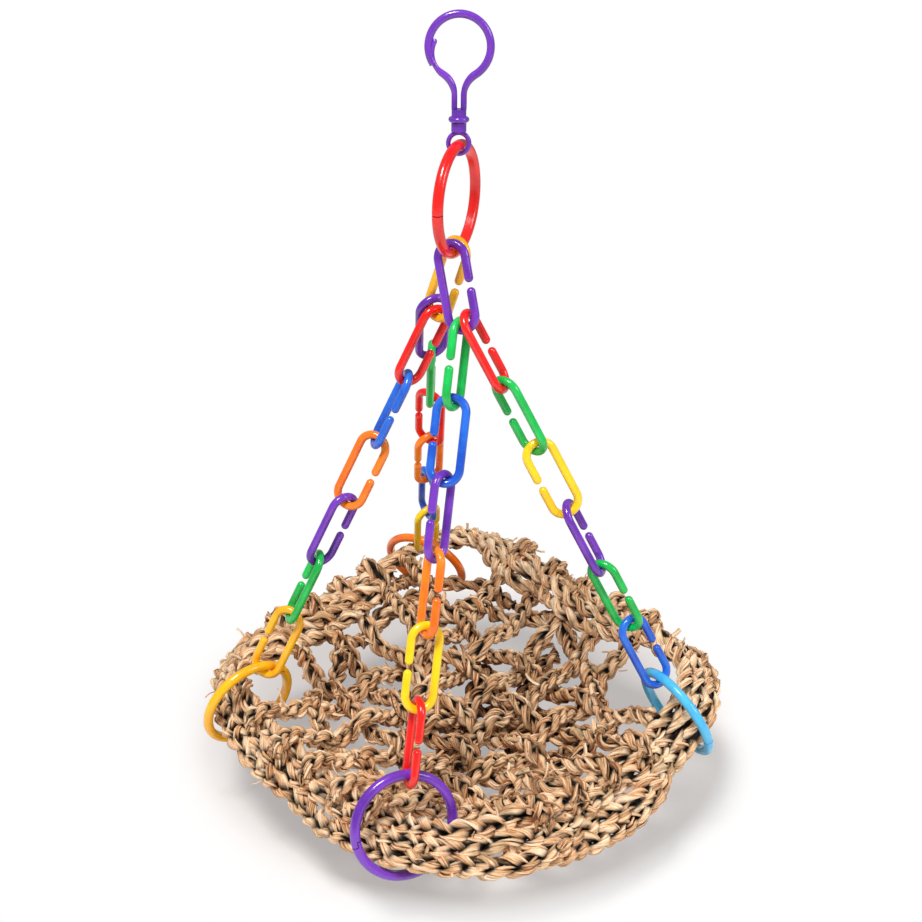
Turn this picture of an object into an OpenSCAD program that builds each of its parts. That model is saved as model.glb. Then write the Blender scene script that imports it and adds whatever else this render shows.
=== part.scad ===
// Bird swing: a woven seagrass mat hung by four chains of plastic C links
// from two top links, a split ring and a swivel snap hook.
// The origin is where the bar that carries the swing touches the hook's loop.
// +Z is up, the front corner of the mat points to -Y and the right one to +X.

/* [Hook] */
// Outer radius of the hook's round loop
hook_loop_r = 14.5; // [12:0.5:20]
// Thickness of the loop's round bar
hook_bar = 3.3; // [2.8:0.1:4.2]
// Thickness of the legs where they meet the neck
leg_d = 2.4; // [2:0.1:2.8]
// Distance between the two legs at the neck, middle to middle
leg_spread = 3.9; // [3.4:0.1:5]
// Radius of the bend from each leg into the loop
leg_bend_r = 10.2; // [8:0.2:14]
// Distance from the loop's centre down to the top of the neck
neck_drop = 25; // [23:0.5:34]
// Diameter of the neck
neck_d = 6.2; // [5.8:0.1:8]
// Height of the neck above the collar
neck_h = 3; // [2.6:0.1:6]
// Diameter of the collar
collar_d = 8.8; // [8:0.1:12]
// Height of the collar
collar_h = 2.4; // [2:0.1:4]

/* [Gate] */
// Thickness of the gate's tip inside the nose
gate_tip_d = 2; // [1.7:0.1:2.2]
// Angle round the loop at which the nose ends
nose_angle = 213; // [205:1:218]
// Radius of the gate's arc inside the nose
gate_arc_r = 9.8; // [9:0.1:10.6]
// Angle through which that arc turns up to the gate's tip
gate_turn_angle = 86; // [75:1:95]
// Clearance between the gate and the nose, and at the gate's root
gate_clear = 0.2; // [0.1:0.05:0.3]

/* [Swivel] */
// Outer diameter of the swivel's eye
eye_d = 10.8; // [10.6:0.1:12]
// Thickness of the eye's wire
eye_wire = 2; // [1.6:0.1:2.2]
// Diameter of the barrel above the eye
barrel_d = 6.4; // [5.4:0.1:8]
// Height of the barrel
barrel_h = 3.6; // [3:0.1:6]
// Diameter of the stem that turns in the collar
stem_d = 2.2; // [1.6:0.1:3]
// Diameter of the head that keeps the stem in the neck
head_d = 3.6; // [3.2:0.1:4]
// Height of the head
head_h = 1.2; // [0.8:0.1:1.4]
// Clearance round the turning stem, its head and the barrel's top
swivel_clear = 0.2; // [0.1:0.05:0.3]

/* [Split rings] */
// Outer diameter of every split ring
ring_outer = 51; // [47:0.5:55]
// Thickness of the ring's round bar
ring_wire = 4.8; // [4.2:0.1:5]
// Depth of the flat on the inner side of the bar
ring_flat = 0.4; // [0.2:0.1:0.6]
// Width of the stepped slit through the ring
slit_w = 0.5; // [0.3:0.1:0.8]
// Length of the lap between the slit's two steps
lap_length = 2.6; // [2:0.2:5]

/* [Links] */
// Length of a C link over all
link_length = 42; // [36:1:50]
// Width of a C link over all
link_width = 17; // [16.4:0.2:20]
// Thickness of the link's round wire
link_wire = 3.9; // [3.2:0.1:4.1]
// Opening between the two round tips of a link
link_gap = 2.1; // [1.5:0.1:3]
// Play left where a link hangs on a link
play = 0.3; // [0.2:0.05:0.4]
// Play left where a link or the eye meets a split ring
ring_play = 0.5; // [0.4:0.05:0.6]

/* [Hanging] */
// Distance from the plumb line to the lower end of the front chain
front_reach = 87; // [82:1:94]
// Distance from the plumb line to the lower end of the right chain
right_reach = 103.5; // [97:0.5:109]
// Distance from the plumb line to the lower end of the left chain
left_reach = 96; // [90:1:102]
// Distance from the plumb line to the lower end of the back chain
back_reach = 112; // [106:1:118]

/* [Mat] */
// Thickness of a plaited rope in the rim
rim_rope_d = 8.4; // [7:0.2:8.8]
// Thickness of a rope in the lattice
lattice_rope_d = 7.6; // [6:0.2:8.4]
// Distance between neighbouring lattice ropes, middle to middle
lattice_step = 22; // [20:0.5:24]
// Sag of the rim's sides below its corners
side_sag = 9.5; // [6:0.5:13]
// Further sag of the lattice's middle
middle_sag = 16; // [8:1:24]
// Clearance between ropes that lie on each other
rope_clear = 0.3; // [0.2:0.05:0.5]
// Clearance between a lattice rope's flat end and the rim's inner run
end_clear = 1.4; // [1.2:0.1:1.6]

/* [Hidden] */
$fn = 48;
chain_names = ["front", "right", "left", "back"];
links_per_chain = 6;
rim_names = ["inner", "middle", "outer"];
overrun = 1;

// Colours of the links, from the top down, and of the rings
purple = "#7a3cc0";
red = "#f21a14";
lemon = "#ffe80f";
amber = "#ffc00c";
orange = "#ff7310";
green = "#0cb84c";
blue = "#1e56d2";
sky = "#46b4eb";
straw = "#c9a878";
link_colours = [
    [green, blue, purple, orange, lemon, red],
    [red, green, lemon, purple, green, blue],
    [red, blue, orange, purple, green, amber],
    [purple, green, red, orange, blue, lemon]];
ring_colours = [purple, sky, amber, orange];

// Directions: a bearing is measured from +X, a tilt from straight down, and
// a roll turns a piece about its own length, from the upright plane
function down_dir(tilt, bearing) = [sin(tilt) * cos(bearing), sin(tilt) * sin(bearing), -cos(tilt)];
function side_dir(tilt, bearing, roll) =
    cos(roll) * [cos(tilt) * cos(bearing), cos(tilt) * sin(bearing), sin(tilt)]
    + sin(roll) * [-sin(bearing), cos(bearing), 0];
function tilt_of(dir) = acos(-dir.z);
function bearing_of(dir) = atan2(dir.y, dir.x);

// The hook's lines, with heights below the origin
loop_r = hook_loop_r - hook_bar / 2;
loop_z = -(hook_loop_r - hook_bar);
bend_x = leg_spread / 2 + leg_bend_r;
bend_drop = sqrt(pow(loop_r + leg_bend_r, 2) - pow(bend_x, 2));
leg_angle = atan2(bend_drop, bend_x);
neck_z = loop_z - neck_drop;
collar_z = neck_z - neck_h - collar_h;
chamber_z = collar_z + collar_h / 2;
barrel_z = collar_z - swivel_clear - barrel_h;
eye_r = (eye_d - eye_wire) / 2;
eye_z = barrel_z - eye_r - eye_wire / 4;

// The split rings
ring_r = (ring_outer - ring_wire) / 2;
ring_inner = ring_wire / 2 - ring_flat;

// The hanger ring leans a little and is turned nearly edge on to the front
hanger_tilt_angle = 1.5;
hanger_bearing_angle = 160;
hanger_roll_angle = 90;
hanger_slit_angle = -8;
hanger_dir = down_dir(hanger_tilt_angle, hanger_bearing_angle);
hanger_side = side_dir(hanger_tilt_angle, hanger_bearing_angle, hanger_roll_angle);
eye_seat = [0, 0, eye_z - eye_r];
hanger_top = eye_seat - (eye_wire / 2 + ring_inner + ring_play) * hanger_dir;
hanger_centre = hanger_top + ring_r * hanger_dir;

// The top links hang side by side on the ring's lowest stretch and lean apart
link_r = (link_width - link_wire) / 2;
link_straight = link_length - link_width;
link_reach = link_length - link_wire;
link_seat = link_wire + play;
ring_seat = link_wire / 2 + ring_inner + ring_play;
pitch = link_reach - link_seat;
top_tilt_angle = [18.2, 19.1];
top_bearing_angle = [-54, 153];
top_roll_angle = [30, 161.5];
top_place_share = [0.24, -0.103];
top_dir = [for (k = [0, 1]) down_dir(top_tilt_angle[k], top_bearing_angle[k])];
top_side = [for (k = [0, 1]) side_dir(top_tilt_angle[k], top_bearing_angle[k], top_roll_angle[k])];
top_head = [for (k = [0, 1]) let (angle = asin(top_place_share[k]))
    hanger_centre + ring_r * (cos(angle) * hanger_dir + sin(angle) * hanger_side) - ring_seat * top_dir[k]];
top_foot = [for (k = [0, 1]) top_head[k] + link_reach * top_dir[k]];

// The chains run straight from a top link's foot to the corner rings
carrier = [0, 0, 1, 1];
foot_share = [-0.255, 0.5, 0.165, -0.476];
foot_lift_share = [0, 0.314, 0, 0.476];
reach = [front_reach, right_reach, left_reach, back_reach];
reach_bearing_angle = [-102.6, -12, 182.4, 98.7];
chain_run = (links_per_chain - 1) * pitch + link_reach - link_seat;
crown = [for (c = [0:3]) let (k = carrier[c], off = foot_share[c] * link_r)
    top_foot[k] + off * top_side[k]
    - (link_r - sqrt(pow(link_r, 2) - pow(off, 2)) + foot_lift_share[c] * link_r) * top_dir[k]];
chain_dir = [for (c = [0:3]) let (
    plan = reach[c] * [cos(reach_bearing_angle[c]), sin(reach_bearing_angle[c])],
    dx = plan.x - crown[c].x,
    dy = plan.y - crown[c].y)
    [dx, dy, -sqrt(pow(chain_run, 2) - pow(dx, 2) - pow(dy, 2))] / chain_run];
chain_top = [for (c = [0:3]) crown[c] - link_seat * chain_dir[c]];
chain_foot = [for (c = [0:3]) chain_top[c] + (chain_run + link_seat) * chain_dir[c]];
link_roll_angle = [
    [347, 281, 342, 43, 303, 33],
    [77, 138, 200, 81, 330, 36],
    [210, 91, 152, 213, 274, 335],
    [292.5, 355, 56, 117, 208, 305]];

// The corner rings hang on in line with their chains, round one side of the rim
corner_roll_angle = [127, 121, 36, 64];
corner_slit_angle = [200, 200, 120, 200];
corner_centre = [for (c = [0:3]) chain_foot[c] + (ring_r - ring_seat) * chain_dir[c]];
corner_across = [for (c = [0:3])
    side_dir(tilt_of(chain_dir[c]), bearing_of(chain_dir[c]), corner_roll_angle[c])];
corner_normal = [for (c = [0:3]) cross(chain_dir[c], corner_across[c])];

// The mat's corners lie past the rings, in shares of a ring's radius: down the
// ring, along its axis and across it
down_share = [0.19, -0.1, -0.1, -0.31];
past_share = [0.62, 0.99, 0.91, 1];
across_share = [0.81, 0.39, -0.07, -0.54];
apex = [for (c = [0:3]) corner_centre[c] + ring_r
    * (down_share[c] * chain_dir[c] + past_share[c] * corner_normal[c] + across_share[c] * corner_across[c])];

// The mat is a sagging sheet with coordinates from -1 to 1 along its sides
middle = (apex[0] + apex[1] + apex[2] + apex[3]) / 4;
rim_exponent = 3.7;
apex_share = pow(2, -1 / rim_exponent);
quad = [for (c = [0:3]) middle + (apex[c] - middle) / apex_share];
half_side = (norm(apex[1] - apex[0]) + norm(apex[3] - apex[1]) + norm(apex[2] - apex[3])
    + norm(apex[0] - apex[2])) / 8 / apex_share;
function sheet(s, t) =
    ((1 - s) * (1 - t) * quad[0] + (1 + s) * (1 - t) * quad[1]
    + (1 - s) * (1 + t) * quad[2] + (1 + s) * (1 + t) * quad[3]) / 4
    - [0, 0, side_sag * (1 - pow(s * t / pow(apex_share, 2), 2)) + middle_sag * (1 - s * s) * (1 - t * t)];

// The rim's middle line, by the angle round the mat
function rim_radius(angle) =
    pow(pow(abs(cos(angle)), rim_exponent) + pow(abs(sin(angle)), rim_exponent), -1 / rim_exponent);
function rim_line(angle) = sheet(rim_radius(angle) * cos(angle), rim_radius(angle) * sin(angle));

// The three runs lie side by side on a band whose outer edge is lower
rim_band_angle = 38;
rim_step = rim_rope_d + rope_clear;
rim_steps = 96;
function rim_out(angle) = let (
    ahead = rim_line(angle + 360 / rim_steps) - rim_line(angle - 360 / rim_steps),
    out = cross(ahead, [0, 0, 1]))
    out / norm(out);
function rim_path(run) = [for (k = [0:rim_steps - 1]) let (angle = 360 * k / rim_steps)
    rim_line(angle) + run * rim_step * (cos(rim_band_angle) * rim_out(angle) - [0, 0, sin(rim_band_angle)])];

// The lattice ropes cross over and under each other and end at the inner run
lattice_count = 5;
lattice_middle = (lattice_count - 1) / 2;
weave_angle = 34;
weave_h = (lattice_rope_d / cos(weave_angle) + rope_clear) / 2;
fade_share = 0.25;
lattice_steps = 32;
function lattice_edge(fixed) = pow(1 - pow(abs(fixed), rim_exponent), 1 / rim_exponent);
function lattice_end(fixed) = lattice_edge(fixed)
    - (rim_step * cos(rim_band_angle) + rim_rope_d / 2 + end_clear) / half_side;
function eased(x) = x * x * (3 - 2 * x);
function on_sheet(fixed, along, sign) = sign > 0 ? sheet(fixed, along) : sheet(along, fixed);
function lattice_point(line, share, sign) = let (
    fixed = (line - lattice_middle) * lattice_step / half_side,
    finish = lattice_end(fixed),
    along = finish * share,
    last_cross = (lattice_middle + fade_share) * lattice_step / half_side,
    fade = eased(max(0, abs(along) - last_cross) / (finish - last_cross)),
    edge = lattice_edge(fixed) * (share < 0 ? -1 : 1),
    rise = on_sheet(fixed, edge, sign).z + rim_step * sin(rim_band_angle)
        - on_sheet(fixed, finish * (share < 0 ? -1 : 1), sign).z,
    phase = 180 * (along * half_side / lattice_step + line - lattice_middle))
    on_sheet(fixed, along, sign) + [0, 0, sign * weave_h * cos(phase) * (1 - fade) + rise * fade];
function lattice_path(line, sign) = [for (k = [0:lattice_steps])
    lattice_point(line, 2 * k / lattice_steps - 1, sign)];

// A tube swept along a path, its sides flat and its ends closed unless it joins itself
function path_dir(path, k, joined) = let (
    n = len(path),
    d = path[joined ? (k + 1) % n : min(k + 1, n - 1)] - path[joined ? (k + n - 1) % n : max(k - 1, 0)])
    d / norm(d);
function tube_ring(p, d, r, sides, up) = let (
    across = cross(up, d) / norm(cross(up, d)),
    over = cross(d, across))
    [for (k = [0:sides - 1]) p + r * (cos(360 * k / sides) * across + sin(360 * k / sides) * over)];
module tube(path, radii, sides, up, joined = false) {
    n = len(path);
    points = [for (k = [0:n - 1]) each tube_ring(path[k], path_dir(path, k, joined), radii[k], sides, up)];
    walls = [for (k = [0:(joined ? n - 1 : n - 2)]) for (j = [0:sides - 1]) let (
        a = k * sides + j,
        b = k * sides + (j + 1) % sides,
        c = ((k + 1) % n) * sides + (j + 1) % sides,
        d = ((k + 1) % n) * sides + j)
        each [[a, c, b], [a, d, c]]];
    last = (n - 1) * sides;
    caps = joined ? [] : [for (j = [1:sides - 2]) each [[0, j, j + 1], [last, last + j + 1, last + j]]];
    polyhedron(points = points, faces = concat(walls, caps), convexity = 6);
}

// Puts a piece that is drawn hanging from the origin at its place
module hang(from, dir, roll) {
    translate(from)
        rotate([0, -tilt_of(dir), bearing_of(dir)])
            rotate([0, 0, roll])
                children();
}

// A stretch of round bar bent to a radius in the upright plane
module bent_bar(r, d, from_angle, to_angle) {
    rotate([90, 0, 0])
        rotate([0, 0, from_angle])
            rotate_extrude(angle = to_angle - from_angle)
                translate([r, 0])
                    circle(d = d);
}

// One of the hook's two legs, from the neck up to the loop
module leg() {
    translate([leg_spread / 2, 0, neck_z])
        cylinder(d = leg_d, h = neck_drop - bend_drop);
    translate([bend_x, 0, loop_z - bend_drop])
        bent_bar(leg_bend_r, leg_d, 180 - leg_angle, 180);
}

// The gate's leg goes on as a tighter arc, which touches the loop's line where
// the leg ends and brings the tip to the inside of the nose
gate_from = 180 + leg_angle;
gate_end = gate_from - gate_turn_angle;
gate_shift = loop_r - gate_arc_r;
gate_middle = [gate_shift * cos(gate_from), 0, loop_z + gate_shift * sin(gate_from)];
gate_root = [-leg_spread / 2, 0, neck_z];
gate_lead_angle = 4;
module gate_tip(extra) {
    translate(gate_middle) {
        bent_bar(gate_arc_r, gate_tip_d + 2 * extra, gate_end, gate_from + gate_lead_angle);
        translate([gate_arc_r * cos(gate_end), 0, gate_arc_r * sin(gate_end)])
            sphere(d = gate_tip_d + 2 * extra);
    }
}

module hook_body() {
    color(purple)
    difference() {
        union() {
            translate([0, 0, loop_z]) {
                bent_bar(loop_r, hook_bar, -leg_angle, nose_angle);
                translate([loop_r * cos(leg_angle), 0, -loop_r * sin(leg_angle)])
                    sphere(d = (hook_bar + leg_d) / 2);
            }
            leg();
            rotate_extrude()
                neck_outline();
        }
        // Scoop for the gate's tip along the inside of the nose
        gate_tip(gate_clear);
        // Way for the gate to swing inwards out of the scoop
        translate(gate_middle)
            rotate([90, 0, 0])
                cylinder(r = gate_arc_r, h = leg_d + gate_clear, center = true);
        // Socket for the gate's root
        translate(gate_root)
            sphere(d = leg_d + 2 * gate_clear);
        // Bore for the swivel's stem, and the chamber for its head
        translate([0, 0, collar_z - overrun])
            cylinder(d = stem_d + 2 * swivel_clear, h = chamber_z - collar_z + 2 * overrun);
        translate([0, 0, chamber_z])
            cylinder(d = head_d + 2 * swivel_clear, h = head_h + 2 * swivel_clear);
    }
}

// Half outline of the neck and of the collar with its rounded rim
module neck_outline() {
    translate([0, neck_z - neck_h])
        square([neck_d / 2, neck_h]);
    translate([0, collar_z])
        square([(collar_d - collar_h) / 2, collar_h]);
    translate([(collar_d - collar_h) / 2, collar_z + collar_h / 2])
        intersection() {
            circle(d = collar_h);
            translate([0, -collar_h])
                square([collar_h, 2 * collar_h]);
        }
}

module hook_gate() {
    color(purple) {
        mirror([1, 0, 0])
            leg();
        gate_tip(0);
        translate(gate_root)
            sphere(d = leg_d);
    }
}

module swivel_eye() {
    color(purple) {
        translate([0, 0, chamber_z + swivel_clear])
            cylinder(d = head_d, h = head_h);
        translate([0, 0, barrel_z])
            cylinder(d = stem_d, h = chamber_z + swivel_clear + head_h / 2 - barrel_z);
        translate([0, 0, barrel_z])
            cylinder(d = barrel_d, h = barrel_h);
        translate([0, 0, eye_z])
            bent_bar(eye_r, eye_wire, 0, 360);
    }
}

// A split ring, hanging from the middle of its topmost wire
module split_ring(colour, slit_angle) {
    color(colour)
    translate([0, 0, -ring_r])
    difference() {
        rotate([90, 0, 0])
            rotate_extrude()
                translate([ring_r, 0])
                    ring_section();
        rotate([0, -slit_angle, 0])
            ring_slit();
    }
}

// Round bar with a shallow flat towards the ring's centre
module ring_section() {
    difference() {
        circle(d = ring_wire);
        translate([-ring_inner - ring_wire, -ring_wire])
            square([ring_wire, 2 * ring_wire]);
    }
}

// The stepped slit: a cut from inside, a lap along the middle and a cut from outside
module ring_slit() {
    lap_angle = lap_length / ring_r * 180 / PI;
    rotate([90, 0, 0]) {
        rotate([0, 0, -lap_angle / 2])
            translate([ring_r - ring_wire, -slit_w / 2, -ring_wire])
                cube([ring_wire + slit_w / 2, slit_w, 2 * ring_wire]);
        rotate([0, 0, lap_angle / 2])
            translate([ring_r - slit_w / 2, -slit_w / 2, -ring_wire])
                cube([ring_wire, slit_w, 2 * ring_wire]);
        rotate([0, 0, -lap_angle / 2])
            rotate_extrude(angle = lap_angle)
                translate([ring_r - slit_w / 2, -ring_wire])
                    square([slit_w, 2 * ring_wire]);
    }
}

module hanger_ring() {
    hang(hanger_top, hanger_dir, hanger_roll_angle)
        split_ring(red, hanger_slit_angle);
}

module corner_ring(c) {
    hang(corner_centre[c] - ring_r * chain_dir[c], chain_dir[c], corner_roll_angle[c])
        split_ring(ring_colours[c], corner_slit_angle[c]);
}

// A C link, hanging from the middle of its upper end's wire, with its gap to +X
module c_link(colour) {
    tip_z = (link_gap + link_wire) / 2;
    color(colour)
    translate([0, 0, -link_reach / 2]) {
        for (end = [0, 1])
            mirror([0, 0, end]) {
                translate([0, 0, link_straight / 2])
                    bent_bar(link_r, link_wire, 0, 180);
                translate([link_r, 0, tip_z])
                    cylinder(d = link_wire, h = link_straight / 2 - tip_z);
                translate([link_r, 0, tip_z])
                    sphere(d = link_wire);
            }
        translate([-link_r, 0, -link_straight / 2])
            cylinder(d = link_wire, h = link_straight);
    }
}

module top_link(k) {
    hang(top_head[k], top_dir[k], top_roll_angle[k])
        c_link([purple, amber][k]);
}

module chain_link(c, k) {
    hang(chain_top[c] + k * pitch * chain_dir[c], chain_dir[c], link_roll_angle[c][k])
        c_link(link_colours[c][k]);
}

rim_sides = 8;
module rim_rope(run) {
    color(straw)
        tube(rim_path(run), [for (k = [1:rim_steps]) rim_rope_d / 2], rim_sides, [0, 0, 1], true);
}

lattice_sides = 6;
module lattice(sign) {
    color(straw)
        for (line = [0:lattice_count - 1])
            tube(lattice_path(line, sign), [for (k = [0:lattice_steps]) lattice_rope_d / 2],
                lattice_sides, [0, 0, 1]);
}

hook_body();
hook_gate();
swivel_eye();
hanger_ring();
top_link(0);  // front_top_link
top_link(1);  // back_top_link
for (c = [0:3]) for (k = [0:links_per_chain - 1])
    chain_link(c, k);
for (c = [0:3])
    corner_ring(c);
for (run = [0:2])
    rim_rope(run - 1);
lattice(1);  // lattice_warp
lattice(-1);  // lattice_weft
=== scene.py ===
# %% [markdown]
# # A bird swing
# A mat of plaited seagrass hangs by four chains of plastic C links from two top
# links, a split ring and a snap hook with a swivel. The imported CAD model gives
# each moving piece its place. This lesson dresses it: the plaits, the fibres,
# the moulded plastic, the light and the camera.

# %% [markdown]
# ## The frame
# The imported model comes in as a fixed frame: every piece already lies in its
# place, in metres, and every moving piece has a name. The dressed swing must not
# grow past it.

# %% Load the frame
import math

import bpy
import numpy as np
from mathutils import Matrix, Vector


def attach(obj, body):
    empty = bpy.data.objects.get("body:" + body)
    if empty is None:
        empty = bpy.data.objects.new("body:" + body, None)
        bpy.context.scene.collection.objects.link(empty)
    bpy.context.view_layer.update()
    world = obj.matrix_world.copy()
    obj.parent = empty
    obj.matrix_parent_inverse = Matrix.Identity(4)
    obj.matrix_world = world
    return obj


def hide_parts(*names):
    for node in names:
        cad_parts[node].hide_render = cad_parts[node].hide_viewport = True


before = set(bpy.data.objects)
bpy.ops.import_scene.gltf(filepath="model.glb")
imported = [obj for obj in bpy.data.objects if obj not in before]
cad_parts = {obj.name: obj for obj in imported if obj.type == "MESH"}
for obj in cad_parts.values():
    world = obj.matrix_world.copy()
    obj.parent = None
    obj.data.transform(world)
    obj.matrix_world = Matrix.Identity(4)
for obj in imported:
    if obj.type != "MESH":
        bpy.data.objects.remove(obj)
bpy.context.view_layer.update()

# %% [markdown]
# ## The camera
# The photograph looks at the swing from the front and a little above. Its place
# and focal length can be guessed by eye or worked out: here they were solved
# from the ends of the links, the rings and the hook, whose places the CAD model
# knows. A matrix is the plainest way to hold three solved directions.
# The focal length is in picture points, so the lens follows from the image's
# side and the sensor's width.

# %% Place the camera
IMAGE_SIDE = 922
camera_place = Vector((0.002536, -0.55374, 0.04843))
camera_down = math.radians(23.93)
camera_roll = math.radians(-0.659)
focal_pixels = 1291.6


def camera_matrix(place, down, roll):
    """Looks along +Y, tipped down, then rolled about its own line of sight."""
    ahead = Vector((0, math.cos(down), -math.sin(down)))
    right = Vector((1, 0, 0))
    below = ahead.cross(right)
    rolled_right = math.cos(roll) * right + math.sin(roll) * below
    rolled_below = math.cos(roll) * below - math.sin(roll) * right
    axes = Matrix((rolled_right, -rolled_below, -ahead)).transposed()
    return Matrix.Translation(place) @ axes.to_4x4()


camera_data = bpy.data.cameras.new("camera")
camera_data.sensor_fit = "HORIZONTAL"
camera_data.sensor_width = 36
camera_data.lens = focal_pixels * camera_data.sensor_width / IMAGE_SIDE
camera_data.clip_start = 0.01
camera = bpy.data.objects.new("camera", camera_data)
camera.matrix_world = camera_matrix(camera_place, camera_down, camera_roll)
bpy.context.scene.collection.objects.link(camera)
bpy.context.scene.camera = camera
print("lens", round(camera_data.lens, 2), "mm")

# %% [markdown]
# ## Two helpers
# A material is a tree of nodes, and so is the world. Added by hand, each node
# takes a line to make it, one for every setting and one for every link. A helper
# does all that in one call, so a tree reads from top to bottom. The second
# helper turns a colour as a screen shows it into the linear values that Blender
# mixes.

# %% A helper for shader trees
def shader_tree(material):
    """Empties a material or world and hands back ways to add and join its nodes."""
    material.use_nodes = True
    tree = material.node_tree
    tree.nodes.clear()

    def add(kind, inputs=None, **settings):
        node = tree.nodes.new(kind)
        for name, value in settings.items():
            setattr(node, name, value)
        for name, value in (inputs or {}).items():
            socket = node.inputs[name]
            if isinstance(value, bpy.types.NodeSocket):
                tree.links.new(value, socket)
            else:
                socket.default_value = value
        return node

    return add


def from_screen(red, green, blue):
    """A colour read off a screen, 0 to 255, as the linear values Blender mixes."""
    def linear(level):
        level /= 255
        return level / 12.92 if level <= 0.04045 else ((level + 0.055) / 1.055) ** 2.4
    return (linear(red), linear(green), linear(blue), 1)


print("mid grey of a screen, linear", round(from_screen(128, 128, 128)[0], 3))

# %% [markdown]
# ## Floor and light
# A product photograph uses large, soft lamps and a white sweep. The world gives
# an even fill, a lamp above and in front models the ropes, and a weaker one from
# the side keeps the far rim readable. The floor could be plain white, but then
# the holes of the mat would glare. So the cloth gets a painted shadow, greyer
# below the mat, takes its real shadow as well, and turns into even white further
# out. Only the camera sees that white: the gloss of the plastic mirrors the even
# fill, so it keeps its deep edges.

# %% The world
FILL_STRENGTH = 0.33
PAPER_WHITE = 1.0
world = bpy.data.worlds.new("studio")
bpy.context.scene.world = world
add = shader_tree(world)
rays = add("ShaderNodeLightPath")
seen = add("ShaderNodeMath", {0: rays.outputs["Is Camera Ray"], 1: rays.outputs["Is Transmission Ray"]},
           operation="MAXIMUM")
fill_light = add("ShaderNodeBackground", {"Color": (1, 1, 1, 1), "Strength": FILL_STRENGTH})
white_sweep = add("ShaderNodeBackground", {"Color": (1, 1, 1, 1), "Strength": PAPER_WHITE})
either = add("ShaderNodeMixShader", {"Fac": seen.outputs[0]})
world.node_tree.links.new(fill_light.outputs[0], either.inputs[1])
world.node_tree.links.new(white_sweep.outputs[0], either.inputs[2])
add("ShaderNodeOutputWorld", {"Surface": either.outputs[0]})
print("world fill", FILL_STRENGTH, "behind the swing", PAPER_WHITE)


# %% Lamps
def soft_lamp(name, place, aim, side, watts):
    """A square area lamp that points from one place to another."""
    data = bpy.data.lights.new(name, "AREA")
    data.size = side
    data.energy = watts
    lamp = bpy.data.objects.new(name, data)
    lamp.location = place
    lamp.rotation_euler = (Vector(aim) - Vector(place)).to_track_quat("-Z", "Y").to_euler()
    bpy.context.scene.collection.objects.link(lamp)
    print(name, watts, "W,", round((Vector(aim) - Vector(place)).length, 2), "m away")
    return lamp


mat_middle = (0, 0.01, -0.3)
soft_lamp("key_lamp", (-0.3, -0.55, 1.05), mat_middle, 0.36, 20)
soft_lamp("side_lamp", (1.1, -0.5, 0.5), mat_middle, 0.5, 6)

# %% The floor
floor_z = -0.392
floor_corners = [(-4, -3, floor_z), (4, -3, floor_z), (4, 6, floor_z), (-4, 6, floor_z)]
below_mat = (0.005, 0.075, floor_z)
# painted shadow: the cloth's colour is greyer in a pool below the mat and turns to open cloth further out
painted_shadow_cloth, open_cloth = (0.5, 0.445, 0.42, 1), (1, 0.97, 0.95, 1)
painted_shadow_fades = {"From Min": 0.11, "From Max": 0.18}
paper_begins = {"From Min": 0.125, "From Max": 0.182}
least_paper = 0.35
floor_mesh = bpy.data.meshes.new("floor")
floor_mesh.from_pydata(floor_corners, [], [(0, 1, 2, 3)])
floor = bpy.data.objects.new("floor", floor_mesh)
bpy.context.scene.collection.objects.link(floor)
floor_paint = bpy.data.materials.new("floor_white")
add = shader_tree(floor_paint)
spot = add("ShaderNodeTexCoord").outputs["Object"]
around_mat = add("ShaderNodeMapping", {"Vector": spot, "Location": [-x for x in below_mat]})
distance = add("ShaderNodeVectorMath", {0: around_mat.outputs[0]}, operation="LENGTH").outputs["Value"]
far = add("ShaderNodeMapRange", {"Value": distance, **paper_begins}, interpolation_type="SMOOTHSTEP")
# this mask places the painted shadow: grey cloth near the mat, open cloth away from it
near = add("ShaderNodeMapRange", {"Value": distance, **painted_shadow_fades}, interpolation_type="SMOOTHSTEP")
cloth_with_painted_shadow = add("ShaderNodeMix", {"Factor": near.outputs["Result"], 6: painted_shadow_cloth, 7: open_cloth},
                   data_type="RGBA")
rays = add("ShaderNodeLightPath")
lifted = add("ShaderNodeMath", {0: far.outputs["Result"], 1: least_paper}, operation="MAXIMUM")
faded = add("ShaderNodeMath", {0: lifted.outputs[0], 1: rays.outputs["Is Camera Ray"]}, operation="MULTIPLY")
cloth = add("ShaderNodeBsdfDiffuse", {"Color": cloth_with_painted_shadow.outputs[2]})
white = add("ShaderNodeEmission", {"Color": (1, 1, 1, 1), "Strength": PAPER_WHITE})
both = add("ShaderNodeMixShader", {"Fac": faded.outputs[0]})
floor_paint.node_tree.links.new(cloth.outputs[0], both.inputs[1])
floor_paint.node_tree.links.new(white.outputs[0], both.inputs[2])
add("ShaderNodeOutputMaterial", {"Surface": both.outputs[0]})
floor_mesh.materials.append(floor_paint)
bpy.context.scene.view_settings.view_transform = "Standard"
print("floor at", floor_z, "m, all white from", paper_begins["From Max"], "m")
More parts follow.
